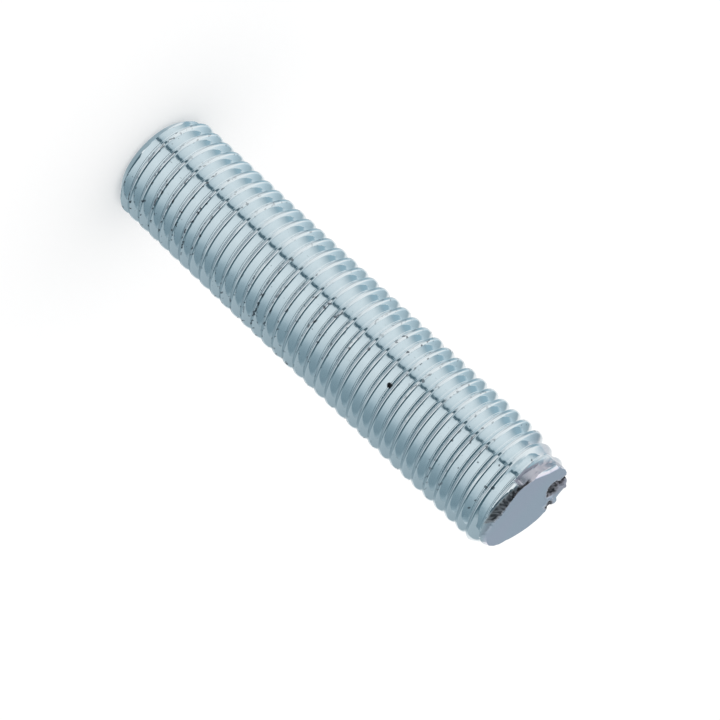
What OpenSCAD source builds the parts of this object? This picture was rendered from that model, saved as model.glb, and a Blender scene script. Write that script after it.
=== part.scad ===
// Threaded rod, metric coarse thread, cut to a short length.
// The base end is sawn square and chamfered. The top end was cropped in a shear: its face is
// slanted, the last ridges of the thread are broken and pressed down, and a burr stands on one side.
// The rod stands on its base end: +Z runs along the axis, the origin is at the centre of the base.

/* [Rod] */
// Length along the axis, from the base to the highest point of the sheared face
rod_length = 70; // [20:1:90]
// Diameter over the crests, a little under the nominal 16 as on rolled and plated rod
thread_d = 15.8; // [13.8:0.1:24]

/* [Thread] */
// Rise of the right-hand thread in one turn
pitch = 2; // [1.75:0.05:3]
// Angle between the two flanks of the groove, in degrees
flank_angle = 60; // [55:1:60]
// Width of the flat along the top of the crest
crest_flat = 0.25; // [0.1:0.05:0.4]
// Depth of the straight flanks below the crest
flank_depth = 1.08; // [0.8:0.02:1.14]
// Further depth of the rolled root below the flanks
root_sag = 0.15; // [0.05:0.01:0.25]
// Direction in which a crest leaves the base plane, in degrees from +X
thread_start = 150; // [0:5:355]

/* [Sawn end] */
// Depth of the chamfer, measured on the radius
chamfer_depth = 1.4; // [0.5:0.1:2]
// Angle between the chamfer and the end face, in degrees
chamfer_angle = 45; // [30:5:60]

/* [Sheared face] */
// Slant of the face, in degrees
shear_slant = 4; // [0:0.5:8]
// Direction of the highest edge of the face, in degrees from +X
shear_high_dir = 180; // [0:15:345]
// Depth of the torn hollow in the face
hollow_depth = 0.8; // [0:0.1:1.2]
// Width of the torn hollow
hollow_width = 3.4; // [1:0.1:5]
// Distance of the torn hollow from the axis
hollow_radius = 5.2; // [0:0.1:6]
// Direction of the torn hollow, in degrees from +X
hollow_dir = 148; // [0:1:359]
// Drop of the torn stretch of the face's edge
torn_drop = 1.2; // [0:0.1:1.6]
// Direction of the middle of the torn edge, in degrees from +X
torn_dir = 285; // [0:15:345]

/* [Crushed thread] */
// Height below the face over which the last ridge broke away, all round
break_height = 2.2; // [1:0.1:4]
// Direction of the burr, where the last ridge still stands, in degrees from +X
burr_dir = 120; // [0:15:345]
// Height below the face over which the blade pressed the crests down on one side
press_height = 7.5; // [3:0.5:12]
// Direction from which the blade pressed, in degrees from +X
press_dir = 195; // [0:15:345]
// Lean of the last crests away from the face
crest_lean = 0.4; // [0:0.05:0.45]

/* [Hidden] */

// Flat steps in one turn, and rings across the sheared face as shares of the way out to its edge
turn_steps = 24;
face_rings = [1, 0.94, 0.86, 0.7, 0.5, 0.26];
// Half widths, in degrees, of the torn edge, the burr and the pressed side
torn_half = 45;
burr_half = 38;
press_half = 60;
// Share of the way out where the torn edge starts, and heights that are crushed to the root
torn_from = 0.82;
broken_height = 0.6;
pressed_height = 1.5;

crest_r = thread_d / 2;
flank_foot_r = crest_r - flank_depth;
root_r = flank_foot_r - root_sag;

// One pitch of the thread, from the middle of one crest to the next, as [share of the pitch, radius]
crest_edge = crest_flat / 2 / pitch;
flank_foot = crest_edge + flank_depth * tan(flank_angle / 2) / pitch;
profile = [
    [0, crest_r],
    [crest_edge, crest_r],
    [flank_foot, flank_foot_r],
    [0.5, root_r],
    [1 - flank_foot, flank_foot_r],
    [1 - crest_edge, crest_r],
    [1, crest_r]
];
// The inner points of the profile sweep the thread's edges, and each edge is one helical line
edge_count = len(profile) - 2;
first_turn = -2;
last_turn = ceil(rod_length / pitch) + 1;
line_count = (last_turn - first_turn) * edge_count;
step_angle = 360 / turn_steps;

function clamp(v, low, high) = min(max(v, low), high);
// Smooth rise from 0 to 1
function ease(v) = let (s = clamp(v, 0, 1)) s * s * (3 - 2 * s);
// 1 in the direction dir, falling to 0 at half_width degrees from it
function toward(angle, dir, half_width) =
    let (gap = abs((angle - dir + 540) % 360 - 180)) ease(1 - gap / half_width);

// Height of the sheared face in direction angle, at share f of the way out to its edge
function face_z(angle, f) =
    let (slant = crest_r * tan(shear_slant) * (1 - f * cos(angle - shear_high_dir)),
         torn = torn_drop * toward(angle, torn_dir, torn_half) * ease((f - torn_from) / (1 - torn_from)),
         from_hollow = f * root_r * [cos(angle), sin(angle)] - hollow_radius * [cos(hollow_dir), sin(hollow_dir)],
         hollow = hollow_depth * ease(1 - norm(from_hollow) / (hollow_width / 2)))
    rod_length - slant - torn - hollow;

// Share of the thread's depth that the shear took off in direction angle at height z
function crushed(angle, z) =
    let (below = face_z(angle, 1) - z,
         broken = ease((break_height - below) / (break_height - broken_height)),
         burr = toward(angle, burr_dir, burr_half),
         pressed = ease((press_height - below) / (press_height - pressed_height)))
    max(broken * (1 - burr), pressed * toward(angle, press_dir, press_half));
function crush(r, angle, z) = r - (r - root_r) * crushed(angle, z);

// Radius of the thread in direction angle at height z
function thread_r(angle, z) =
    let (turn = z / pitch - (angle - thread_start) / 360)
    crush(lookup(turn - floor(turn), profile), angle, z);

// Radius and height of helical line number line in direction angle
function line_r(line) = profile[line % edge_count + 1][1];
function line_z(line, angle) =
    let (z = pitch * (first_turn + floor(line / edge_count) + profile[line % edge_count + 1][0]
             + (angle - thread_start) / 360),
         lean = crest_lean * ease(1 - (rod_length - z) / press_height))
    line_r(line) == crest_r ? z - lean : z;

// Point numbers: the base ring, the face's rings and its middle, then the helical lines.
// A line that has run out of either end is the end's own ring point.
function base_id(i) = i % turn_steps;
function face_id(i, ring) = turn_steps * (1 + ring) + i % turn_steps;
middle_id = face_id(0, len(face_rings));
function line_id(i, line) =
    let (angle = (i % turn_steps) * step_angle,
         own = line + floor(i / turn_steps) * edge_count,
         z = line_z(own, angle))
    z <= 0 ? base_id(i)
    : z >= face_z(angle, 1) ? face_id(i, 0)
    : middle_id + 1 + own * turn_steps + i % turn_steps;

// Two triangles on four points, without those that have shrunk to a line
function pair(a, b, c, d) =
    [for (t = [[a, b, c], [a, c, d]]) if (t[0] != t[1] && t[1] != t[2] && t[2] != t[0]) t];

module threaded_rod() {
    color([0.72, 0.79, 0.82])
    intersection() {
        cropped_thread();
        chamfered_blank();
    }
}

// The thread from the base plane to the sheared face, as one closed skin
module cropped_thread() {
    function polar(r, angle, z) = [r * cos(angle), r * sin(angle), z];
    steps = [0 : turn_steps - 1];
    inner_ring = len(face_rings) - 1;
    base = [for (i = steps) let (a = i * step_angle) polar(thread_r(a, 0), a, 0)];
    face = [
        for (f = face_rings) for (i = steps)
            let (a = i * step_angle) polar(f * thread_r(a, face_z(a, 1)), a, face_z(a, f))
    ];
    middle = [[0, 0, face_z(0, 0)]];
    lines = [
        for (line = [0 : line_count + edge_count]) for (i = steps)
            let (a = i * step_angle, z = line_z(line, a)) polar(crush(line_r(line), a, z), a, z)
    ];
    base_face = [[for (i = steps) base_id(i)]];
    thread_faces = [
        for (line = [0 : line_count - 1]) for (i = steps)
            each pair(line_id(i, line), line_id(i, line + 1), line_id(i + 1, line + 1), line_id(i + 1, line))
    ];
    ring_faces = [
        for (ring = [0 : inner_ring - 1]) for (i = steps)
            each pair(face_id(i, ring), face_id(i, ring + 1), face_id(i + 1, ring + 1), face_id(i + 1, ring))
    ];
    middle_faces = [for (i = steps) [face_id(i, inner_ring), middle_id, face_id(i + 1, inner_ring)]];
    polyhedron(
        points = concat(base, face, middle, lines),
        faces = concat(base_face, thread_faces, ring_faces, middle_faces)
    );
}

// A plain bar wider than the thread, with the sawn end's chamfer turned on it
module chamfered_blank() {
    spare = 1;
    foot_r = crest_r - chamfer_depth;
    chamfer_rise = (chamfer_depth + spare) * tan(chamfer_angle);
    rotate_extrude($fn = 96)
        polygon([
            [0, 0],
            [foot_r, 0],
            [crest_r + spare, chamfer_rise],
            [crest_r + spare, rod_length + spare],
            [0, rod_length + spare]
        ]);
}

threaded_rod();
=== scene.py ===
# %% [markdown]
# # A short length of threaded rod
# The rod is one piece of steel: a thread rolled along its whole length, one end sawn square and
# chamfered, the other cropped in a shear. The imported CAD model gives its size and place, and this
# script makes the surface that is seen: the smooth thread, the sheared end and the zinc plating.

# %% The frame and the size of the CAD part
import math
import bmesh
import bpy
import numpy as np
from mathutils import Matrix, Vector, noise


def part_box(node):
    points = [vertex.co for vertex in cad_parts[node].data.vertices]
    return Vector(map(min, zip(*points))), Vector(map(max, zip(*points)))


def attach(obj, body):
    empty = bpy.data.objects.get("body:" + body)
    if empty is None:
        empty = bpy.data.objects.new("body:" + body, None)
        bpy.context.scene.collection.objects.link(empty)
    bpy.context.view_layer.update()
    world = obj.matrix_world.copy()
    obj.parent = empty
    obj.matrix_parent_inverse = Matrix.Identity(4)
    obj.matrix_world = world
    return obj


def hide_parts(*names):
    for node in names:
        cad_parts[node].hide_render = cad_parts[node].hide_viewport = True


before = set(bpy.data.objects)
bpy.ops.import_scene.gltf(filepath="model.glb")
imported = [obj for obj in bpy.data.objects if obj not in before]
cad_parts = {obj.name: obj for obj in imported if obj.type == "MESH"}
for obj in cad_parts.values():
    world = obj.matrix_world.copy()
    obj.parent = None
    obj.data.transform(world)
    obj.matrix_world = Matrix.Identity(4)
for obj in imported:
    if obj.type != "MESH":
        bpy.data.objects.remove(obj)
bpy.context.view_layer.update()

MM = 0.001
low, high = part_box("threaded_rod")
rod_length = high.z
crest_radius = min(high.x, -low.x, high.y, -low.y)
print(f"rod {rod_length / MM:.1f} mm long, {2 * crest_radius / MM:.2f} mm across the crests")

# %% [markdown]
# ## The camera
# A small thing is photographed from some way off with a long lens, so that the rod narrows only a
# little along its length. The camera is made first, because it decides how fine the surface has to
# be. It is rolled on its side, and the rod runs across the picture from corner to corner.

# %% The camera
CAMERA_PLACE = Vector((0.946, -353.714, 172.766)) * MM
CAMERA_RIGHT = Vector((-0.68505, 0.25598, 0.68204))
CAMERA_UP = Vector((-0.7285, -0.24072, -0.64137))
LENS_MM = 147.966
SENSOR_MM = 36

camera_data = bpy.data.cameras.new("camera")
camera_data.lens = LENS_MM
camera_data.sensor_width = SENSOR_MM
camera = bpy.data.objects.new("camera", camera_data)
camera_back = CAMERA_RIGHT.cross(CAMERA_UP)
camera_turn = Matrix((CAMERA_RIGHT, CAMERA_UP, camera_back)).transposed()
camera.matrix_world = Matrix.Translation(CAMERA_PLACE) @ camera_turn.to_4x4()
bpy.context.scene.collection.objects.link(camera)
bpy.context.scene.camera = camera
looking_down = math.degrees(math.asin(camera_back.z))
print(f"camera {CAMERA_PLACE.length:.3f} m from the foot, looking down {looking_down:.1f} degrees")

# %% [markdown]
# ## The thread
# A rolled thread is one groove wound round a bar. Its outline, cut along the axis, is the same at
# every turn, so the surface follows a rule: the radius depends only on how far a point lies from
# the nearest crest. That makes it work for Geometry Nodes: a flat grid is bent into the skin of the
# rod, with one row of points along each helical line. The modelling tools' screw modifier would wind
# an outline too, but it leaves both ends ragged, and here they are cut cleanly by holding the points
# between the two end planes.

# %% Sizes of the thread
PITCH = 2.0 * MM
FLANK_ANGLE = math.radians(60)
CREST_FLAT = 0.42 * MM
THREAD_DEPTH = 1.23 * MM
ROOT_RADIUS = crest_radius - THREAD_DEPTH
ROOT_HOLLOW = 0.15 * MM
ROOT_HALF_WIDTH = 0.14 * MM
EDGE_ROUNDING = 0.10 * MM
THREAD_START = math.radians(150)
print(f"{rod_length / PITCH:.1f} turns, {2 * ROOT_RADIUS / MM:.2f} mm across the roots")

# %% Sizes of the two ends
CHAMFER_DEPTH = 1.4 * MM
FOOT_RADIUS = crest_radius - CHAMFER_DEPTH
SHEAR_SLANT = math.radians(4)
SHEAR_HIGH = math.radians(180)
shear_drop = 2 * crest_radius * math.tan(SHEAR_SLANT)
print(f"the sheared face falls {shear_drop / MM:.2f} mm from one side to the other")

# %% How fine the grids are
STEPS_PER_TURN = 72
LINES_PER_TURN = 26
LINE_CROWDING = 0.55
FACE_RINGS = 44
BASE_RINGS = 4
WELD_DISTANCE = 0.002 * MM
print(f"{STEPS_PER_TURN} steps round, {LINES_PER_TURN} lines in a turn")


# %% Helpers that write a formula into a node tree
def formula(tree, operation, *values):
    """Adds one Math node, with each input wired or set, and gives its result."""
    math_node = tree.nodes.new("ShaderNodeMath")
    math_node.operation = operation
    for socket, value in zip(math_node.inputs, values):
        if isinstance(value, bpy.types.NodeSocket):
            tree.links.new(value, socket)
        else:
            socket.default_value = value
    return math_node.outputs[0]


def new_tree(name, inputs, outputs):
    """A geometry tree with named sockets. Gives the tree, its inputs by name and its output node."""
    tree = bpy.data.node_groups.new(name, "GeometryNodeTree")
    for socket_name, kind in inputs.items():
        tree.interface.new_socket(socket_name, in_out="INPUT", socket_type=kind)
    for socket_name, kind in outputs.items():
        tree.interface.new_socket(socket_name, in_out="OUTPUT", socket_type=kind)
    entry = tree.nodes.new("NodeGroupInput")
    leave = tree.nodes.new("NodeGroupOutput")
    return tree, entry.outputs, leave


# %% [markdown]
# The outline is a small tree of its own, so that the thread and both end faces can ask it for the
# same radius. It starts from straight flanks, cuts them off at the crest and lays a shallow bowl in
# the root. The smooth minimum and maximum round the corners between them, as the rolling dies do.

# %% Sockets of the outline's tree
NUMBER = "NodeSocketFloat"
OUTLINE_SIZES = [
    "Pitch", "Crest radius", "Crest flat", "Flank angle", "Root radius", "Root hollow",
    "Root half width", "Edge rounding",
]
outline_tree, outline_given, outline_end = new_tree(
    "thread outline",
    {name: NUMBER for name in ["Turns"] + OUTLINE_SIZES},
    {"Radius": NUMBER},
)
print(f"the outline takes {len(OUTLINE_SIZES)} sizes")


def outline_sum(operation, *values):
    return formula(outline_tree, operation, *values)


# %% The way along the axis from the nearest root, and from the nearest crest
part_turn = outline_sum("FRACT", outline_given["Turns"])
from_root_share = outline_sum("ABSOLUTE", outline_sum("SUBTRACT", part_turn, 0.5))
from_root = outline_sum("MULTIPLY", from_root_share, outline_given["Pitch"])
half_pitch = outline_sum("MULTIPLY", outline_given["Pitch"], 0.5)
from_crest = outline_sum("SUBTRACT", half_pitch, from_root)
print(f"way along the axis: {len(outline_tree.nodes)} nodes so far")

# %% The flank, the crest and the root
# Past this share of its half width, the bowl in the root rises no further
BOWL_END = 1.2

half_flat = outline_sum("MULTIPLY", outline_given["Crest flat"], 0.5)
past_flat = outline_sum("SUBTRACT", from_crest, half_flat)
half_angle = outline_sum("MULTIPLY", outline_given["Flank angle"], 0.5)
flank_drop = outline_sum("DIVIDE", past_flat, outline_sum("TANGENT", half_angle))
flank_line = outline_sum("SUBTRACT", outline_given["Crest radius"], flank_drop)
rounding = outline_given["Edge rounding"]
ridge_line = outline_sum("SMOOTH_MIN", flank_line, outline_given["Crest radius"], rounding)
bowl_share = outline_sum("DIVIDE", from_root, outline_given["Root half width"])
bowl_share = outline_sum("MINIMUM", bowl_share, BOWL_END)
bowl_rise = outline_sum("MULTIPLY", bowl_share, bowl_share)
bowl_rise = outline_sum("MULTIPLY", bowl_rise, outline_given["Root hollow"])
bowl_line = outline_sum("ADD", outline_given["Root radius"], bowl_rise)
outline_radius = outline_sum("SMOOTH_MAX", ridge_line, bowl_line, rounding)
outline_tree.links.new(outline_radius, outline_end.inputs["Radius"])
print(f"outline tree: {len(outline_tree.nodes)} nodes")

# %% [markdown]
# Three grids share that outline. The long one is the thread. Its points sit on helical lines, closer
# together at the crest and the root, where the surface turns, than on the straight flanks. The two
# others are the sawn base and the sheared face, each a fan of rings, and their outer ring lies
# exactly on the thread's edge. Merging the doubled points then gives one closed skin.

# %% Sockets of the rod's tree
INTEGER = "NodeSocketInt"
zinc = bpy.data.materials.new("zinc_plating")
ROD_INPUTS = {
    "Length": (NUMBER, rod_length),
    "Pitch": (NUMBER, PITCH),
    "Crest radius": (NUMBER, crest_radius),
    "Crest flat": (NUMBER, CREST_FLAT),
    "Flank angle": (NUMBER, FLANK_ANGLE),
    "Root radius": (NUMBER, ROOT_RADIUS),
    "Root hollow": (NUMBER, ROOT_HOLLOW),
    "Root half width": (NUMBER, ROOT_HALF_WIDTH),
    "Edge rounding": (NUMBER, EDGE_ROUNDING),
    "Thread start": (NUMBER, THREAD_START),
    "Chamfer foot radius": (NUMBER, FOOT_RADIUS),
    "Face slant": (NUMBER, SHEAR_SLANT),
    "Face high direction": (NUMBER, SHEAR_HIGH),
    "Steps per turn": (INTEGER, STEPS_PER_TURN),
    "Lines per turn": (INTEGER, LINES_PER_TURN),
    "Line crowding": (NUMBER, LINE_CROWDING),
    "Rings on the face": (INTEGER, FACE_RINGS),
    "Finish": ("NodeSocketMaterial", zinc),
}
rod_tree, given, rod_end = new_tree(
    "threaded rod",
    {name: kind for name, (kind, value) in ROD_INPUTS.items()},
    {"Geometry": "NodeSocketGeometry"},
)
print(f"the rod takes {len(ROD_INPUTS)} inputs")


def rod_sum(operation, *values):
    return formula(rod_tree, operation, *values)


def rod_node(kind, **wires):
    """Adds a node of the rod's tree and wires its inputs, where _ in a name stands for a space."""
    made = rod_tree.nodes.new(kind)
    for name, value in wires.items():
        socket = made.inputs[name.replace("_", " ")]
        if isinstance(value, bpy.types.NodeSocket):
            rod_tree.links.new(value, socket)
        else:
            socket.default_value = value
    return made


# %% How far the skin lies from the axis
start_share = rod_sum("DIVIDE", given["Thread start"], math.tau)


def skin_radius(turn_share, height):
    """Radius of the skin at a share of a turn and a height, with the sawn end's chamfer on it."""
    started = rod_sum("SUBTRACT", turn_share, start_share)
    turns = rod_sum("SUBTRACT", rod_sum("DIVIDE", height, given["Pitch"]), started)
    group = rod_tree.nodes.new("GeometryNodeGroup")
    group.node_tree = outline_tree
    rod_tree.links.new(turns, group.inputs["Turns"])
    for name in OUTLINE_SIZES:
        rod_tree.links.new(given[name], group.inputs[name])
    chamfer = rod_sum("ADD", given["Chamfer foot radius"], height)
    return rod_sum("MINIMUM", group.outputs["Radius"], chamfer)


# %% How high the sheared face lies, and where the skin meets it
EDGE_SEARCH_STEPS = 4


def face_height(turn_share, from_axis):
    """Height of the sheared plane at a share of a turn and a distance from the axis."""
    turned = rod_sum("MULTIPLY", turn_share, math.tau)
    from_high = rod_sum("SUBTRACT", turned, given["Face high direction"])
    toward_high = rod_sum("MULTIPLY", from_axis, rod_sum("COSINE", from_high))
    across = rod_sum("SUBTRACT", given["Crest radius"], toward_high)
    drop = rod_sum("MULTIPLY", across, rod_sum("TANGENT", given["Face slant"]))
    return rod_sum("SUBTRACT", given["Length"], drop)


def edge_of_face(turn_share):
    """Height at which the outline meets the sheared plane. Each step comes about 8 times nearer."""
    found = face_height(turn_share, given["Root radius"])
    for _ in range(EDGE_SEARCH_STEPS):
        found = face_height(turn_share, skin_radius(turn_share, found))
    return found


# %% How a grid is made, and how it is bent
def grid_shares(rows):
    """A grid of Steps per turn columns, and the shares of the way across and up it."""
    columns = rod_sum("ADD", given["Steps per turn"], 1)
    grid = rod_node("GeometryNodeMeshGrid", Size_X=1, Size_Y=1, Vertices_X=columns, Vertices_Y=rows)
    position = rod_node("GeometryNodeInputPosition").outputs[0]
    axes = rod_node("ShaderNodeSeparateXYZ", Vector=position).outputs
    return grid.outputs["Mesh"], rod_sum("ADD", axes["X"], 0.5), rod_sum("ADD", axes["Y"], 0.5)


def bend(grid, turn_share, from_axis, height):
    """Moves the grid's points to a direction, a distance from the axis and a height."""
    turned = rod_sum("MULTIPLY", turn_share, math.tau)
    east = rod_sum("MULTIPLY", from_axis, rod_sum("COSINE", turned))
    north = rod_sum("MULTIPLY", from_axis, rod_sum("SINE", turned))
    position = rod_node("ShaderNodeCombineXYZ", X=east, Y=north, Z=height).outputs[0]
    return rod_node("GeometryNodeSetPosition", Geometry=grid, Position=position).outputs["Geometry"]


# %% The thread's grid
# Turns of thread from one turn below the lowest line that shows to one turn above the highest
seen_turns = rod_sum("CEIL", rod_sum("DIVIDE", given["Length"], given["Pitch"]))
all_turns = rod_sum("ADD", seen_turns, 2)
line_rows = rod_sum("ADD", rod_sum("MULTIPLY", all_turns, given["Lines per turn"]), 1)
thread_grid, turn_share, rise = grid_shares(line_rows)
even_turns = rod_sum("SUBTRACT", rod_sum("MULTIPLY", rise, all_turns), 1)
# A sine with two waves in a turn draws the lines towards the crest and the root
wave = rod_sum("SINE", rod_sum("MULTIPLY", even_turns, 2 * math.tau))
crowd = rod_sum("MULTIPLY", wave, rod_sum("DIVIDE", given["Line crowding"], 2 * math.tau))
line_turns = rod_sum("SUBTRACT", even_turns, crowd)
climbed = rod_sum("ADD", line_turns, rod_sum("SUBTRACT", turn_share, start_share))
free_height = rod_sum("MULTIPLY", given["Pitch"], climbed)
above_base = rod_sum("MAXIMUM", free_height, 0.0)
held_height = rod_sum("MINIMUM", above_base, edge_of_face(turn_share))
thread_skin = bend(thread_grid, turn_share, skin_radius(turn_share, held_height), held_height)
print(f"thread: {len(rod_tree.nodes)} nodes so far")

# %% The sheared face's grid and the sawn base's
face_grid, turn_share, face_share = grid_shares(given["Rings on the face"])
edge_height = edge_of_face(turn_share)
face_from_axis = rod_sum("MULTIPLY", face_share, skin_radius(turn_share, edge_height))
middle_height = face_height(turn_share, 0.0)
face_rise = rod_sum("MULTIPLY", face_share, rod_sum("SUBTRACT", edge_height, middle_height))
face_skin = bend(face_grid, turn_share, face_from_axis, rod_sum("ADD", middle_height, face_rise))

base_grid, turn_share, base_share = grid_shares(BASE_RINGS)
inward = rod_sum("SUBTRACT", 1, base_share)
base_from_axis = rod_sum("MULTIPLY", inward, skin_radius(turn_share, 0.0))
base_skin = bend(base_grid, turn_share, base_from_axis, 0.0)
print(f"both ends: {len(rod_tree.nodes)} nodes so far")

# %% One closed skin
join = rod_tree.nodes.new("GeometryNodeJoinGeometry")
for part_skin in (thread_skin, face_skin, base_skin):
    rod_tree.links.new(part_skin, join.inputs["Geometry"])
joined = join.outputs["Geometry"]
welded = rod_node("GeometryNodeMergeByDistance", Geometry=joined, Distance=WELD_DISTANCE)
real = rod_node("GeometryNodeRealizeInstances", Geometry=welded.outputs["Geometry"])
real_skin = real.outputs["Geometry"]
finished = rod_node("GeometryNodeSetMaterial", Geometry=real_skin, Material=given["Finish"])
rod_tree.links.new(finished.outputs["Geometry"], rod_end.inputs["Geometry"])
print(f"rod tree: {len(rod_tree.nodes)} nodes")


# %% The tree's result as a plain mesh
def grow(name, tree, values):
    """Runs a tree on an empty object and gives its result as a plain mesh object."""
    seed = bpy.data.objects.new(name, bpy.data.meshes.new(name))
    bpy.context.scene.collection.objects.link(seed)
    modifier = seed.modifiers.new("tree", "NODES")
    modifier.node_group = tree
    for socket in tree.interface.items_tree:
        if socket.in_out == "INPUT":
            modifier[socket.identifier] = values[socket.name]
    ready = seed.evaluated_get(bpy.context.evaluated_depsgraph_get())
    mesh = bpy.data.meshes.new_from_object(ready)
    bpy.data.objects.remove(seed)
    piece = bpy.data.objects.new(name, mesh)
    bpy.context.scene.collection.objects.link(piece)
    return piece


rod = grow("rod_skin", rod_tree, {name: value for name, (kind, value) in ROD_INPUTS.items()})
print(f"thread and ends: {len(rod.data.vertices)} points, {len(rod.data.polygons)} faces")

# %% [markdown]
# ## The sheared end
# A shear doesn't cut cleanly. The blade pushes the last ridges over before the bar snaps, so the
# crests near the face lean back and flatten, most of all where the blade came down. A flake tore out
# of the edge on one side, a burr with hollows stands on the other, and a smooth smear covers the
# last groove between them. None of this follows one rule, so it is done by moving the points of the
# plain mesh with numpy, after the skin near the face has been given four times as many points round
# the rod.

# %% More points near the face
FINE_DEPTH = 5.5 * MM
FINE_CUTS = 3
# A point nearer to the axis than this is the middle of an end, and an edge that turns less than
# the angle leads along the rod
MIDDLE = 1e-6
STRAIGHT = math.radians(1)


def runs_round(edge):
    """True for an edge that leads round the rod, and not along it or across the face."""
    first, second = (vert.co.xy for vert in edge.verts)
    if min(first.length, second.length) < MIDDLE:
        return False
    return abs(first.angle_signed(second)) > STRAIGHT


def lies_above(edge, floor_height):
    return min(vert.co.z for vert in edge.verts) > floor_height


skin = bmesh.new()
skin.from_mesh(rod.data)
fine_floor = rod_length - FINE_DEPTH
near_edges = [edge for edge in skin.edges if lies_above(edge, fine_floor) and runs_round(edge)]
bmesh.ops.subdivide_edges(skin, edges=near_edges, cuts=FINE_CUTS)
skin.to_mesh(rod.data)
skin.free()
print(f"{len(near_edges)} edges cut, now {len(rod.data.vertices)} points")

# %% Every point as a direction, a reach from the axis and a height, in degrees and mm
points = np.empty(3 * len(rod.data.vertices))
rod.data.vertices.foreach_get("co", points)
points = points.reshape(-1, 3) / MM
angle = np.degrees(np.arctan2(points[:, 1], points[:, 0])) % 360
reach = np.hypot(points[:, 0], points[:, 1])
height = points[:, 2].copy()
length = rod_length / MM
crest = crest_radius / MM
root = ROOT_RADIUS / MM
print(f"{len(points)} points, from {reach.min():.2f} to {reach.max():.2f} mm off the axis")


# %% Ways to say where something lies
def ease(value):
    """Smooth rise from 0 to 1."""
    held = np.clip(value, 0, 1)
    return held * held * (3 - 2 * held)


def toward(middle, half_width):
    """1 in the direction middle, falling to 0 at half_width degrees from it."""
    return ease(1 - np.abs((angle - middle + 540) % 360 - 180) / half_width)


def between(first, last, soft):
    """1 from one direction to another, with soft edges of so many degrees inside them."""
    into = (angle - first) % 360
    return ease(into / soft) * ease(((last - first) % 360 - into) / soft)


# %% Which points the shear moves
FACE_TOLERANCE = 2e-3
DAMAGE_DEPTH = 9
slope = math.tan(SHEAR_SLANT)


def sheared_plane(at_reach):
    """Height of the sheared plane in every point's direction, at a distance from the axis."""
    return length - slope * (crest - at_reach * np.cos(np.radians(angle) - SHEAR_HIGH))


on_face = height > sheared_plane(reach) - FACE_TOLERANCE
close = height > length - DAMAGE_DEPTH
side = close & ~on_face
print(f"{on_face.sum()} points on the sheared face, {side.sum()} on the thread below it")

# %% [markdown]
# The blade pressed the crests flat on the side where it came down, over about three turns, and broke
# the last ridge almost all round. How far a point lies below the face says how hard it was hit, and
# its direction says on which side it is. A sculpting brush would do this by eye, and nobody could
# read afterwards what it did. As numbers, each side and each depth can be changed by itself.

# %% Crushed crests
BREAK_HEIGHT, BROKEN_HEIGHT = 1.9, 0.7
PRESS_HEIGHT, PRESSED_HEIGHT = 6.6, 1.6
SMEAR_HEIGHT, SMEAR_FADE = 1.45, 0.35
BURR_AT, BURR_HALF = 112, 24
PRESSED_AT, PRESSED_HALF = 187, 42
SMEARED_SIDE = (180, 264, 8)
# Sides on which more of the last ridge still stands, and how much more
FLAKE_SIDE, FLAKE_SPARED = (250, 345, 12), 0.85
FAR_SIDE, FAR_SPARED = (330, 60, 15), 0.4

below = sheared_plane(crest) - height
broken = ease((BREAK_HEIGHT - below) / (BREAK_HEIGHT - BROKEN_HEIGHT))
broken = broken * (1 - toward(BURR_AT, BURR_HALF))
broken = broken * (1 - FLAKE_SPARED * between(*FLAKE_SIDE))
broken = broken * (1 - FAR_SPARED * between(*FAR_SIDE))
pressed = ease((PRESS_HEIGHT - below) / (PRESS_HEIGHT - PRESSED_HEIGHT))
pressed = pressed * toward(PRESSED_AT, PRESSED_HALF)
smeared = ease((SMEAR_HEIGHT - below) / SMEAR_FADE) * between(*SMEARED_SIDE)
print(f"{(side & (pressed > 0.5)).sum()} points pressed down, {(side & (broken > 0.5)).sum()} broken")

# %% Leaning crests
CREST_LEAN = 0.42
UPRIGHT_SIDE, LESS_LEAN = (245, 340, 15), 0.6

ridge_height = np.clip((reach - root) / (crest - root), 0, 1)
lean = CREST_LEAN * (1 - LESS_LEAN * between(*UPRIGHT_SIDE)) * ridge_height ** 2
lean = lean * ease(1 - (length - height) / PRESS_HEIGHT)
pressed_reach = reach - np.maximum(reach - root, 0) * pressed
broken_reach = crest - (crest - root) * np.maximum(broken, smeared)
reach = np.where(side, np.minimum(pressed_reach, broken_reach), reach)
height = np.where(side, height - lean, height)
print(f"the crests lean by up to {lean[side].max():.2f} mm")

# %% [markdown]
# Seen from its end, the sheared face isn't round. Its rim follows a list of directions and reaches,
# and the skin just under the rim is drawn in or out to meet it. The face's own rings
# are stretched to the same rim, so the skin stays closed.

# %% Noise for rough metal
def ripple(size, seed):
    """Smooth noise from -1 to 1 near the face, with lumps of the given size in mm, and 0 elsewhere."""
    shift = Vector((seed, 2 * seed, 3 * seed))
    waves = np.zeros(len(points))
    for index in np.flatnonzero(close):
        waves[index] = noise.noise(Vector(points[index]) / size + shift)
    return waves


# %% A value that changes round the rod
def round_the_rod(table):
    """Value in every point's direction, from a short list of directions and values."""
    directions, values = zip(*table)
    return np.interp(angle, directions, values, period=360)


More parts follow.
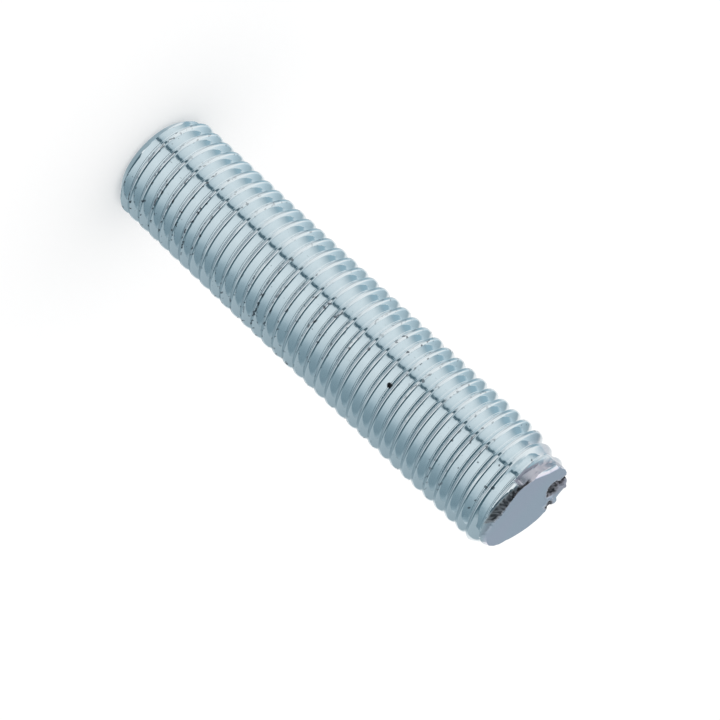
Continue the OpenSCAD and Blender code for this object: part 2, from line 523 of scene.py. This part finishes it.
# %% The rim of the face
RIM = (
    (8, 6.85), (19, 6.94), (32, 6.99), (44, 6.8), (60, 7.0), (75, 7.3), (88, 7.5), (97, 7.3),
    (104, 7.6), (110, 7.86), (114, 7.7), (120, 6.8), (126, 6.85), (134, 7.2), (142, 7.0),
    (157, 6.55), (170, 6.5), (181, 6.6), (194, 6.6), (205, 6.85), (223, 6.6), (239, 6.78),
    (252, 7.0), (262, 7.1), (268, 6.75), (277, 6.3), (286, 5.77), (295, 5.45), (303, 5.39),
    (311, 5.75), (322, 6.1), (333, 6.4), (345, 6.6), (359, 6.72),
)
RIM_DEPTHS = (
    (20, 0.5), (60, 0.45), (95, 0.9), (112, 1.6), (130, 1.5), (150, 0.9), (185, 0.6), (200, 1.2),
    (235, 1.3), (250, 0.6), (262, 0.5), (275, 0.75), (290, 0.8), (305, 0.7), (325, 0.7), (350, 0.6),
)
RIM_RIPPLE = 0.07
RIM_CLEARANCE = 0.01

rim = round_the_rod(RIM) + RIM_RIPPLE * ripple(size=0.7, seed=5)
rim = np.minimum(rim, crest - RIM_CLEARANCE)
print(f"the rim lies {rim.min():.2f} to {rim.max():.2f} mm off the axis")

# %% The face and the skin below it drawn to the rim
RAYS_PER_DEGREE = 100

clean_rim = np.full(len(points), crest)
ray = np.round(angle * RAYS_PER_DEGREE).astype(int)
for one_ray in np.unique(ray[on_face]):
    here = on_face & (ray == one_ray)
    clean_rim[here] = reach[here].max()
rim_share = np.where(on_face, reach / clean_rim, 0)
under_rim = sheared_plane(reach) - height
rim_pull = np.where(side, ease(1 - under_rim / round_the_rod(RIM_DEPTHS)), 0)
reach = np.where(on_face, rim_share * rim, reach + (rim - reach) * rim_pull)
height = np.where(on_face, sheared_plane(reach), height)
print(f"{(rim_pull > 0).sum()} points drawn to the rim")

# %% [markdown]
# Where the metal parted it left hollows and raised lips beside the burr, ragged metal along the
# flake, and a low step beside the smear. A boolean cut would give each of them a hard edge, which
# torn metal doesn't have. So each hollow and lip is a soft round spot with a place, a width and a
# depth, and noise makes it rough.

# %% A soft round spot
def spot(at_reach, at_angle, wide):
    """1 at a reach and a direction, falling to 0 at a distance from there in mm."""
    east = reach * np.cos(np.radians(angle)) - at_reach * math.cos(math.radians(at_angle))
    north = reach * np.sin(np.radians(angle)) - at_reach * math.sin(math.radians(at_angle))
    return ease(1 - np.hypot(east, north) / wide)


# %% Hollows and lips, each a reach, a direction, a width and a depth or a height
HOLLOWS = (
    (4.8, 137, 1.35, 0.9), (4.5, 150, 1.4, 0.9), (4.4, 162, 1.15, 0.8), (5.6, 153, 1.25, 0.8),
    (6.4, 158, 0.85, 0.6), (6.9, 107, 1.1, 0.45), (7.6, 105, 0.9, 0.4), (6.1, 113, 0.8, 0.4),
)
LIPS = (
    (5.3, 166, 0.5, 0.12), (6.35, 144, 0.6, 0.25), (7.1, 137, 0.6, 0.25), (5.0, 109, 0.6, 0.12),
    (5.4, 121, 0.5, 0.18),
)
DENT_FADE = 1.2
DENT_RIPPLE, FULLY_ROUGH = 0.16, 0.3

near_top = ease(1 - (sheared_plane(reach) - height) / DENT_FADE)
dents = np.zeros(len(points))
for at_reach, at_angle, wide, deep in HOLLOWS:
    dents = np.maximum(dents, deep * spot(at_reach, at_angle, wide))
for at_reach, at_angle, wide, tall in LIPS:
    dents = dents - tall * spot(at_reach, at_angle, wide)
rough = np.clip(np.abs(dents) / FULLY_ROUGH, 0, 1)
height = height - near_top * (dents + DENT_RIPPLE * rough * ripple(size=0.35, seed=7))
print(f"hollows {dents.max():.2f} mm deep, lips {-dents.min():.2f} mm high")

# %% The torn flake
TORN_SIDE = (256, 318, 8)
TORN_INWARD, TORN_DOWNWARD = 0.22, 0.12

torn = between(*TORN_SIDE) * np.where(side, rim_pull, 0)
reach = reach + TORN_INWARD * torn * ripple(size=0.28, seed=11)
height = height - TORN_DOWNWARD * torn * ripple(size=0.5, seed=13)
print(f"torn: {(torn > 0.3).sum()} points")

# %% The step beside the smear
STEP_INNER_EDGE = ((190, 6.5), (205, 6.35), (217, 5.95), (228, 6.1), (239, 6.5), (250, 6.8))
STEP_SIDE = (198, 246, 7)
STEP_WIDTH, STEP_DEPTH = 0.55, 0.42
TOP_CLEARANCE = 1e-3

on_step = ease((reach - round_the_rod(STEP_INNER_EDGE)) / STEP_WIDTH) * between(*STEP_SIDE)
height = height - STEP_DEPTH * on_step * np.where(on_face, 1, rim_pull)
height = np.minimum(height, length - TOP_CLEARANCE)
reach = np.minimum(reach, crest)
print(f"step: {(on_step > 0.5).sum()} points")

# %% [markdown]
# The finish has to know where the metal was torn, scraped or freshly cut, and where shade is painted
# into the hollows. The moves above know it already, so their amounts are kept on the mesh as
# attributes, which the material can read. One more is the seam that rolling leaves along each crest:
# too fine to model, its shade is painted as a thin dark line, heaviest on the camera's side.

# %% Painted shade in the hollows, on the torn flake and round the burr
SHADE_FROM, SHADE_FADE = 0.06, 0.16
FLAKE_SHADE_SIDE = (246, 316, 5)
FLAKE_SHADE_PULL, FLAKE_SHADE_TOP = 0.25, 0.02
SHADE_LEVEL, SHADE_RIPPLE = 0.95, 0.6
BURR_SHADE_SPOT = (5.9, 146, 3.3)
BURR_SHADE_LEVEL, BURR_SHADE_SPREAD = 0.4, 1.5

# Shade is painted into the hollows, darker the deeper they go, and onto the torn flake below the rim
painted_shade = ease((dents - SHADE_FROM) / SHADE_FADE) * np.maximum(near_top, on_face)
flake_shade = between(*FLAKE_SHADE_SIDE) * np.where(side, ease(rim_pull / FLAKE_SHADE_PULL), 0)
painted_shade = np.maximum(painted_shade, flake_shade * (under_rim > FLAKE_SHADE_TOP))
painted_shade = np.clip(painted_shade * (SHADE_LEVEL + SHADE_RIPPLE * ripple(size=0.3, seed=17)), 0, 1)
# A soft shade painted on the face round the burr's hollows
burr_shade = BURR_SHADE_LEVEL * on_face * ease(BURR_SHADE_SPREAD * spot(*BURR_SHADE_SPOT))
painted_shade = np.maximum(painted_shade, burr_shade)
print(f"grime on {(painted_shade > 0.5).sum()} points")

# %% Worn plating, and the cut face
SCRAPED_AT, SCRAPED_HALF = 186, 44
SCRAPE_HEIGHT, SCRAPE_FADE, SCRAPE_LEVEL = 6.8, 2.2, 0.75
STEP_SHINE = 0.75

worn = np.maximum(smeared * side, np.where(on_face, 0, rim_pull))
# The blade also scraped the ridges that it pressed down
scraped = SCRAPE_LEVEL * side * toward(SCRAPED_AT, SCRAPED_HALF)
scraped = scraped * ease((SCRAPE_HEIGHT - below) / SCRAPE_FADE)
worn = np.maximum(worn, scraped)
cut = on_face * (1 - STEP_SHINE * on_step)
print(f"worn: {(worn > 0.5).sum()} points")

# %% The painted shade of the seam along the crest
SEAM_AT, SEAM_HALF, SEAM_SHARPNESS = -0.04, 0.14, 1.3
SEAM_START = 1.5
# How dark the seam's painted shade is in each direction round the rod
SEAM_SHADE_ROUND = (
    (20, 0.5), (165, 0.1), (203, 0.2), (212, 0.6), (228, 0.55), (240, 0.2), (252, 0.25),
    (257, 0.9), (280, 1), (296, 1), (310, 0.6), (328, 0.05), (350, 0.1),
)

pitch = PITCH / MM
thread_turns = points[:, 2] / pitch - angle / 360 + THREAD_START / math.tau
above_crest = ((thread_turns + 0.5) % 1 - 0.5) * pitch
seam_shade = ease(SEAM_SHARPNESS * (1 - np.abs(above_crest - SEAM_AT) / SEAM_HALF))
seam_shade = seam_shade * (1 - pressed) * (1 - np.clip(worn + broken, 0, 1)) * round_the_rod(SEAM_SHADE_ROUND)
seam_shade = np.where(on_face | (points[:, 2] < SEAM_START), 0, seam_shade)
print(f"seam: {(seam_shade > 0.5).sum()} points")

# %% The moved points and the attributes, back on the mesh
turned = np.radians(angle)
points = np.stack([reach * np.cos(turned), reach * np.sin(turned), height], 1)
rod.data.vertices.foreach_set("co", (points * MM).ravel())
for name, values in (("painted_shade", painted_shade), ("worn", worn), ("cut", cut), ("seam_shade", seam_shade)):
    attribute = rod.data.attributes.new(name, "FLOAT", "POINT")
    attribute.data.foreach_set("value", values)
print(f"attributes on {len(points)} points")

# %% Check of the skin
SLIVER = 1e-7
SHARP_ANGLE = math.radians(38)

skin = bmesh.new()
skin.from_mesh(rod.data)
bmesh.ops.dissolve_degenerate(skin, dist=SLIVER, edges=skin.edges)
bmesh.ops.recalc_face_normals(skin, faces=skin.faces)
open_edges = sum(1 for edge in skin.edges if not edge.is_manifold)
print(f"open edges: {open_edges}; volume {skin.calc_volume(signed=True) / MM ** 3:.1f} mm3")
skin.to_mesh(rod.data)
skin.free()
rod.data.shade_smooth()
rod.data.set_sharp_from_angle(angle=SHARP_ANGLE)

# %% [markdown]
# ## The plating
# Bright zinc over rolled steel is almost a mirror, a little blue. Rolling leaves fine lines down the
# flanks, handling leaves nicks along the crests, and the plating bath leaves a few dark specks. The
# sheared face was plated too, so it is the same metal but satin. In the torn places the metal is
# rough, and shade is painted dark into them. A picture wrapped round the rod would smear over the
# flanks and stop at a seam.
# Instead the patterns read the object's own coordinates, and the damage reads the mesh's attributes,
# so the finish fits the surface from every side.

# %% Colours of the finish
ZINC = (0.76, 0.83, 0.86, 1)
WORN_ZINC = (0.42, 0.41, 0.47, 1)
SHADE_AND_PIT_BLACK = (0.010, 0.011, 0.015, 1)
NICK_AND_SHADE = (0.07, 0.08, 0.10, 1)
SEAM_SHADE = (0.21, 0.27, 0.32, 1)
CUT_BLUE = (0.86, 0.84, 0.93, 1)
CUT_LILAC = (0.93, 0.80, 0.93, 1)

zinc.use_nodes = True
shade = zinc.node_tree
shader = shade.nodes["Principled BSDF"]
print(f"finish: {len(shade.nodes)} nodes to start with")


# %% Sums in the finish
def sum_of(operation, *values):
    return formula(shade, operation, *values)


def past(value, level, soft):
    """0 below a level, 1 from level + soft up."""
    share = sum_of("DIVIDE", sum_of("SUBTRACT", value, level), soft)
    share.node.use_clamp = True
    return share


# %% Noise in the finish
def lumps(place, size, seed):
    """Noise from 0 to 1 with lumps of the given size in mm, at a place given in metres."""
    noise_node = shade.nodes.new("ShaderNodeTexNoise")
    noise_node.noise_dimensions = "4D"
    noise_node.inputs["W"].default_value = seed
    noise_node.inputs["Scale"].default_value = 1 / (size * MM)
    noise_node.inputs["Detail"].default_value = 1
    shade.links.new(place, noise_node.inputs["Vector"])
    return noise_node.outputs["Fac"]


def flat_place(across, up):
    """A place for lumps, from two sockets."""
    both = shade.nodes.new("ShaderNodeCombineXYZ")
    shade.links.new(across, both.inputs["X"])
    shade.links.new(up, both.inputs["Y"])
    return both.outputs[0]


# %% Places on the rod
object_place = shade.nodes.new("ShaderNodeTexCoord").outputs["Object"]
split = shade.nodes.new("ShaderNodeSeparateXYZ")
shade.links.new(object_place, split.inputs[0])
east, north, along = split.outputs
round_way = sum_of("ARCTAN2", north, east)
squares = sum_of("ADD", sum_of("MULTIPLY", east, east), sum_of("MULTIPLY", north, north))
out_way = sum_of("SQRT", squares)
print(f"places: {len(shade.nodes)} nodes so far")

# %% [markdown]
# Nicks gather on the crests, because nothing else touches what the rod rubs against. Noise that is
# cut off at a high level leaves small separate patches, and slower noise decides which stretches of
# the rod have any. The marks that stand out most are placed one by one.

# %% Nicks and specks
CREST_BAND, CREST_FADE = 0.28 * MM, 0.12 * MM
NICK_STRETCH = 0.55

nick_place = flat_place(sum_of("MULTIPLY", round_way, crest_radius * NICK_STRETCH), along)
on_crest = past(out_way, level=crest_radius - CREST_BAND, soft=CREST_FADE)
busy = past(lumps(object_place, size=9, seed=3), level=0.42, soft=0.2)
nicks = past(lumps(nick_place, size=0.42, seed=1), level=0.58, soft=0.05)
nicks = sum_of("MULTIPLY", sum_of("MULTIPLY", nicks, on_crest), busy)
specks = past(lumps(object_place, size=0.34, seed=2), level=0.745, soft=0.03)
specks = sum_of("MULTIPLY", specks, busy)
print(f"nicks and specks: {len(shade.nodes)} nodes so far")

# %% Single marks and patches of painted shade, each a direction in degrees, and a reach, a height and a radius in mm
PIT = (276, 6.72, 47.62, 0.42)
# The last three are no marks but painted shade on the last flank beside the torn flake
SMUDGES_AND_SHADE = (
    (304, 6.74, 65.68, 0.2), (259, 7.0, 65.25, 0.22), (279, 7.73, 66.94, 0.3),
    (251, 7.77, 50.76, 0.28), (271, 7.14, 64.11, 0.18), (285, 6.68, 65.66, 0.2),
    (228, 6.76, 67.24, 0.2), (252, 7.75, 26.78, 0.25), (315, 7.01, 65.55, 0.24),
    (264, 7.82, 42.8, 0.25), (273, 7.72, 58.91, 0.25), (193, 7.55, 62.6, 0.16),
    (197, 7.3, 64.5, 0.18), (205, 7.6, 62.7, 0.12), (292, 7.81, 36.96, 0.22),
    (276, 7.84, 40.86, 0.22), (290, 6.82, 61.52, 0.18), (260, 7.3, 69.2, 0.5),
    (265, 7.35, 69.15, 0.5), (270, 7.35, 68.95, 0.45),
)
SMUDGE_AND_SHADE_LEVEL = 0.8
# Further off than any mark counts, in radii of the mark
FAR_OUTSIDE = 9.0


def spotted(marks):
    """1 inside ragged round marks and 0 outside them."""
    outside = FAR_OUTSIDE
    for mark_angle, mark_reach, mark_height, mark_radius in marks:
        gap = shade.nodes.new("ShaderNodeVectorMath")
        gap.operation = "DISTANCE"
        mark_east = mark_reach * math.cos(math.radians(mark_angle))
        mark_north = mark_reach * math.sin(math.radians(mark_angle))
        gap.inputs[1].default_value = (mark_east * MM, mark_north * MM, mark_height * MM)
        shade.links.new(object_place, gap.inputs[0])
        radii_away = sum_of("DIVIDE", gap.outputs["Value"], mark_radius * MM)
        outside = sum_of("MINIMUM", outside, radii_away)
    ragged = sum_of("ADD", outside, lumps(object_place, size=0.3, seed=4))
    return sum_of("SUBTRACT", 1, past(ragged, level=1.15, soft=0.35))


smudges_and_shade = sum_of("MULTIPLY", spotted(SMUDGES_AND_SHADE), SMUDGE_AND_SHADE_LEVEL)
pit = spotted((PIT,))
print(f"{len(SMUDGES_AND_SHADE)} smudges and a pit: {len(shade.nodes)} nodes so far")


# %% Spots and dark places
def painted(name):
    """The mesh's attribute of that name."""
    read = shade.nodes.new("ShaderNodeAttribute")
    read.attribute_name = name
    return read.outputs["Fac"]


spots = sum_of("MAXIMUM", sum_of("MAXIMUM", nicks, specks), smudges_and_shade)
dark = sum_of("MAXIMUM", painted("painted_shade"), pit)
print(f"spots and dark places: {len(shade.nodes)} nodes so far")

# %% Rolling lines
# Noise that is stretched along the rod, because the dies draw the metal up the flanks
LINE_SHRINK = 0.04
LINE_DEPTH, LINE_STRENGTH = 0.004 * MM, 0.5

roll_across = sum_of("MULTIPLY", round_way, crest_radius)
roll_place = flat_place(roll_across, sum_of("MULTIPLY", along, LINE_SHRINK))
bump = shade.nodes.new("ShaderNodeBump")
bump.inputs["Strength"].default_value = LINE_STRENGTH
bump.inputs["Distance"].default_value = LINE_DEPTH
shade.links.new(lumps(roll_place, size=0.22, seed=6), bump.inputs["Height"])
shade.links.new(bump.outputs["Normal"], shader.inputs["Normal"])
print(f"rolling lines: {len(shade.nodes)} nodes so far")


# %% Blending two colours
def blend(share, first, second):
    """Colour between two, each a colour or a socket."""
    mix = shade.nodes.new("ShaderNodeMix")
    mix.data_type = "RGBA"
    shade.links.new(share, mix.inputs[0])
    for socket, value in ((mix.inputs[6], first), (mix.inputs[7], second)):
        if isinstance(value, bpy.types.NodeSocket):
            shade.links.new(value, socket)
        else:
            socket.default_value = value
    return mix.outputs[2]


# %% Colour of the metal
WORN_LEAST, WORN_VARIES = 0.65, 0.4
SPOT_LEVEL = 0.85

patchy = sum_of("MULTIPLY", lumps(object_place, size=0.8, seed=8), WORN_VARIES)
worn_share = sum_of("MULTIPLY", painted("worn"), sum_of("ADD", patchy, WORN_LEAST))
seam_breaks = past(lumps(nick_place, size=1.6, seed=12), level=0.15, soft=0.4)
face_tint = blend(past(lumps(object_place, size=11, seed=15), level=0.35, soft=0.3), CUT_BLUE, CUT_LILAC)
colour = blend(worn_share, ZINC, WORN_ZINC)
# The seam's painted shade: a thin dark line along each crest
colour = blend(sum_of("MULTIPLY", painted("seam_shade"), seam_breaks), colour, SEAM_SHADE)
colour = blend(painted("cut"), colour, face_tint)
# Nicks, specks and smudges, and the painted shade beside the torn flake, take one dark colour
colour = blend(sum_of("MULTIPLY", spots, SPOT_LEVEL), colour, NICK_AND_SHADE)
# The pit, and the shade painted into the hollows, onto the torn flake and round the burr, are near black
colour = blend(dark, colour, SHADE_AND_PIT_BLACK)
shade.links.new(colour, shader.inputs["Base Color"])
print(f"colour: {len(shade.nodes)} nodes so far")

# %% Gloss of the metal
DARK_DULLS = 0.7
SMOOTH_LEAST, SMOOTH_VARIES = 0.055, 0.05
SATIN, SPOT_ROUGHNESS = 0.14, 0.25

metallic = sum_of("SUBTRACT", 1, sum_of("MULTIPLY", dark, DARK_DULLS))
shade.links.new(metallic, shader.inputs["Metallic"])
satin = sum_of("MULTIPLY", sum_of("MAXIMUM", painted("cut"), painted("worn")), SATIN)
smooth = sum_of("MULTIPLY", lumps(object_place, size=3, seed=9), SMOOTH_VARIES)
smooth = sum_of("ADD", smooth, SMOOTH_LEAST)
rough_spots = sum_of("MULTIPLY", sum_of("MAXIMUM", dark, spots), SPOT_ROUGHNESS)
roughness = sum_of("ADD", sum_of("ADD", smooth, satin), rough_spots)
shade.links.new(roughness, shader.inputs["Roughness"])
print(f"zinc: {len(shade.nodes)} nodes")

# %% [markdown]
# ## The set
# Small shiny parts are photographed on white in a light tent: a wall of white cloth round the part,
# darker where the cloth ends, and with a narrow gap between two lengths of it. The metal shows
# nothing but that tent. The world and the floor stay plain white, and the tent is seen only in the
# metal. Area lights would give small hard highlights, and not the long streaks along the thread.

# %% World
WHITE = (1, 1, 1, 1)

world = bpy.data.worlds.new("studio")
bpy.context.scene.world = world
world.use_nodes = True
background = world.node_tree.nodes["Background"]
background.inputs["Color"].default_value = WHITE
print(f"world of strength {background.inputs['Strength'].default_value:.0f}")

# %% Floor
FLOOR_WIDTH = 6
PAPER = (0.8, 0.8, 0.8, 1)
PAPER_GLOW = 0.25

bpy.ops.mesh.primitive_plane_add(size=FLOOR_WIDTH)
floor = bpy.context.object
floor.name = "floor"
floor.visible_glossy = False
paper = bpy.data.materials.new("white_paper")
paper.use_nodes = True
paper_shader = paper.node_tree.nodes["Principled BSDF"]
paper_shader.inputs["Base Color"].default_value = PAPER
paper_shader.inputs["Roughness"].default_value = 1
paper_shader.inputs["Specular IOR Level"].default_value = 0
paper_shader.inputs["Emission Color"].default_value = WHITE
paper_shader.inputs["Emission Strength"].default_value = PAPER_GLOW
floor.data.materials.append(paper)
print(f"floor {FLOOR_WIDTH} m wide")

# %% [markdown]
# The tent is a large ball, and its brightness goes by direction. Directions are in degrees, from
# straight behind the rod over the right to the camera at 180. A flank mirrors only one direction at
# each place round the rod, so each entry of the first list sets the tone of one streak along the
# thread. What lies a little above the rod on the camera's side is dark, as the room behind a camera
# is, and it draws the thin dark lines beside each crest and root.

# %% Brightness of the tent
# The gap in the cloth, which draws the dark streak along the rod
GAP = ((212.2, 0.09), (218.6, 0.09))
FLOOR_LIGHT = (
    (0, 0.5), (30, 0.3), (50, 0.26), (66, 0.27), (88, 0.35), (100, 0.41), (106, 0.48), (112, 0.59),
    (118, 0.68), (124, 0.75), (136, 0.86), (154, 0.94), (172, 1.04), (196, 1.02), (204, 0.98),
    (211.2, 0.9), *GAP, (219.6, 0.6), (226, 0.8), (232, 0.9), (244, 1.01), (256, 1.04),
    (268, 1.02), (278, 0.88), (284, 0.75), (290, 0.56), (298, 0.45), (316, 0.42), (335, 0.5),
    (360, 0.5),
)
FAR_LIGHT = (
    (0, 0.9), (32, 0.9), (46, 0.4), (62, 0.28), (88, 0.33), (106, 0.45), (124, 0.7), (154, 0.92),
    (172, 1.04), (204, 0.98), (211.2, 0.9), *GAP, (219.6, 0.6), (232, 0.9), (256, 1.04),
    (272, 0.9), (284, 0.65), (292, 0.45), (312, 0.42), (328, 0.8), (340, 0.9), (360, 0.9),
)
UNDER_LIGHT = (
    (0, 0.35), (60, 0.22), (100, 0.25), (150, 0.28), (211.2, 0.28), *GAP, (219.6, 0.5),
    (232, 0.68), (262, 0.7), (285, 0.45), (310, 0.35), (360, 0.35),
)
HIGH_LIGHT = (
    (0, 0.30), (35, 0.4), (60, 0.45), (80, 0.2), (100, 0.1), (211, 0.08), (218, 0.5),
    (230, 0.85), (275, 0.95), (310, 1.0), (330, 0.5), (345, 0.30), (360, 0.30),
)
ROOF_LIGHT = ((0, 0.3), (90, 0.06), (212, 0.06), (222, 0.5), (300, 0.5), (360, 0.3))
# Degrees above or below the middle of the rod, and the brightness there
RINGS = (
    (-89, UNDER_LIGHT), (-52, UNDER_LIGHT), (-46, FLOOR_LIGHT), (-24, FLOOR_LIGHT),
    (-17, FAR_LIGHT), (2, FAR_LIGHT), (8, HIGH_LIGHT), (50, HIGH_LIGHT),
    (60, ROOF_LIGHT), (89, ROOF_LIGHT),
)
print(f"{len(RINGS)} rings of cloth")

# %% Colour of the tent
# The red, green and blue that shade adds, and how strong they are in each direction
SHADE_TINT = np.array((0, 0.23, 0.35))
TINT_SIDES = ((0, 1), (282, 1), (300, 1.7), (325, 1.7), (345, 1), (360, 1))


def light_at(table, azimuth):
    """Colour of the tent in a direction: brightness from the table, bluer where it is dark."""
    level = np.interp(azimuth, *zip(*table))
    tint = np.interp(azimuth, *zip(*TINT_SIDES))
    return level + max(1 - level, 0) * math.sqrt(level) * tint * SHADE_TINT


# %% The tent's mesh
TENT_RADIUS = 3.0
STATION_STEP = 6

listed = {azimuth for azimuth, level in FLOOR_LIGHT + FAR_LIGHT}
stations = sorted(listed | set(range(0, 361, STATION_STEP)))
tent_points = []
tent_colours = []
for azimuth in stations:
    for rise_angle, table in RINGS:
        level_way = TENT_RADIUS * math.cos(math.radians(rise_angle))
        tent_points.append((
            level_way * math.sin(math.radians(azimuth)),
            level_way * math.cos(math.radians(azimuth)),
            rod_length / 2 + TENT_RADIUS * math.sin(math.radians(rise_angle)),
        ))
        tent_colours.append((*light_at(table, azimuth), 1))
rings = len(RINGS)
tent_faces = []
for first in range(0, (len(stations) - 1) * rings, rings):
    for corner in range(first, first + rings - 1):
        tent_faces.append((corner, corner + 1, corner + rings + 1, corner + rings))
tent_mesh = bpy.data.meshes.new("light_tent")
tent_mesh.from_pydata(tent_points, [], tent_faces)
glow = tent_mesh.color_attributes.new("glow", "FLOAT_COLOR", "POINT")
glow.data.foreach_set("color", np.array(tent_colours).ravel())
print(f"tent: {len(stations)} stations, {len(tent_faces)} faces")

# %% The tent, seen only in the metal
tent = bpy.data.objects.new("light_tent", tent_mesh)
bpy.context.scene.collection.objects.link(tent)
tent.visible_camera = False
tent.visible_diffuse = False
tent.visible_shadow = False
tent.visible_transmission = False

cloth = bpy.data.materials.new("tent_cloth")
cloth.use_nodes = True
cloth_nodes = cloth.node_tree.nodes
cloth_nodes.remove(cloth_nodes["Principled BSDF"])
shine = cloth_nodes.new("ShaderNodeEmission")
read_glow = cloth_nodes.new("ShaderNodeVertexColor")
read_glow.layer_name = "glow"
cloth.node_tree.links.new(read_glow.outputs["Color"], shine.inputs["Color"])
cloth.node_tree.links.new(shine.outputs[0], cloth_nodes["Material Output"].inputs["Surface"])
tent_mesh.materials.append(cloth)
print(f"cloth: {len(cloth_nodes)} nodes")

# %% The view transform, the rod under its body, and the CAD part hidden
bpy.context.scene.view_settings.view_transform = "Standard"
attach(rod, "root")
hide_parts("threaded_rod")
